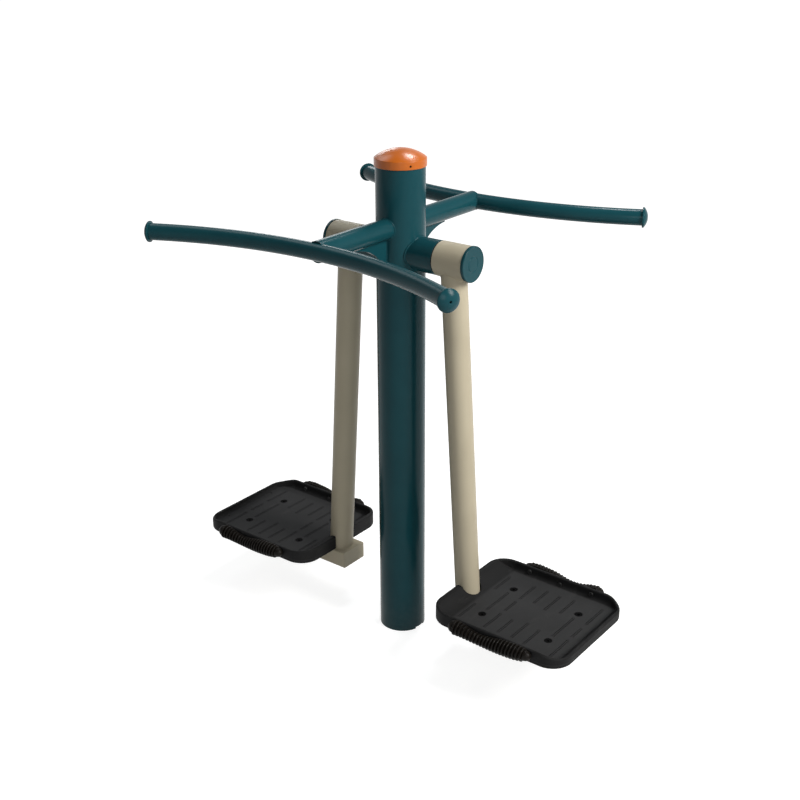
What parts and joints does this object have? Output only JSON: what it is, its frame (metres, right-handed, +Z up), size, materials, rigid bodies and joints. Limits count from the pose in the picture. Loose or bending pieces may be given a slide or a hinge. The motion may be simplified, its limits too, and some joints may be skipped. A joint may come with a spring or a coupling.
{
  "type": "outdoor side swing trainer",
  "caption": "Two-place outdoor side swing trainer: a teal post with bowed handlebars and two free-swinging pendulums that carry ribbed black footplates.",
  "frame": {"origin": "centre of the post's foot, at ground level", "axes": "+Z up along the post; +X along the swing axis towards the right pendulum; +Y along the arms towards the back handlebar"},
  "size_m": [1.113, 0.811, 1.221],
  "materials": {
    "teal_paint": "satin powder coat",
    "orange_paint": "gloss powder coat",
    "beige_paint": "satin powder coat",
    "black_tray": "matte moulded",
    "black_rubber": "matte moulded",
    "zinc_steel": "zinc plated",
    "bearing_steel": "ground",
    "brass": "turned"
  },
  "bodies": {
    "frame": {"main_post": "teal_paint", "foot_sleeve": "zinc_steel", "clamp_screws": "zinc_steel", "post_cap": "orange_paint", "post_cap_screws": "zinc_steel", "front_arm": "teal_paint", "back_arm": "teal_paint", "front_gusset": "teal_paint", "back_gusset": "teal_paint", "front_handlebar": "teal_paint", "back_handlebar": "teal_paint", "front_end_caps": "teal_paint", "back_end_caps": "teal_paint", "end_cap_screws": "zinc_steel", "pivot_axle": "bearing_steel", "axle_washers": "zinc_steel", "axle_nuts": "zinc_steel", "right_hub_stub": "teal_paint", "right_stop_pin": "bearing_steel", "right_seal_ring": "black_rubber", "right_inner_rings": "bearing_steel", "right_bearing_balls": "bearing_steel", "right_spacer_sleeve": "bearing_steel", "left_hub_stub": "teal_paint", "left_stop_pin": "bearing_steel", "left_seal_ring": "black_rubber", "left_inner_rings": "bearing_steel", "left_bearing_balls": "bearing_steel", "left_spacer_sleeve": "bearing_steel"},
    "right_pendulum": {"right_bearing_housing": "beige_paint", "right_outer_rings": "bearing_steel", "right_retaining_ring": "bearing_steel", "right_hub_cap": "teal_paint", "right_pendulum_tube": "beige_paint", "right_foot_beam": "beige_paint", "right_beam_end_plates": "beige_paint", "right_cross_brackets": "beige_paint", "right_footplate": "black_tray", "right_front_guard": "black_rubber", "right_back_guard": "black_rubber", "right_guard_bolts": "zinc_steel", "right_guard_inserts": "brass", "right_footplate_bolts": "zinc_steel", "right_footplate_nuts": "zinc_steel"},
    "left_pendulum": {"left_bearing_housing": "beige_paint", "left_outer_rings": "bearing_steel", "left_retaining_ring": "bearing_steel", "left_hub_cap": "teal_paint", "left_pendulum_tube": "beige_paint", "left_foot_beam": "beige_paint", "left_beam_end_plates": "beige_paint", "left_cross_brackets": "beige_paint", "left_footplate": "black_tray", "left_front_guard": "black_rubber", "left_back_guard": "black_rubber", "left_guard_bolts": "zinc_steel", "left_guard_inserts": "brass", "left_footplate_bolts": "zinc_steel", "left_footplate_nuts": "zinc_steel"}
  },
  "joints": [
    {"name": "right_swing", "type": "hinge", "parent": "frame", "child": "right_pendulum", "pos_m": [0.152, 0, 0.989], "axis": [1, 0, 0], "range_deg": [-30, 30]},
    {"name": "left_swing", "type": "hinge", "parent": "frame", "child": "left_pendulum", "pos_m": [-0.152, 0, 0.989], "axis": [1, 0, 0], "range_deg": [-30, 30]}
  ]
}
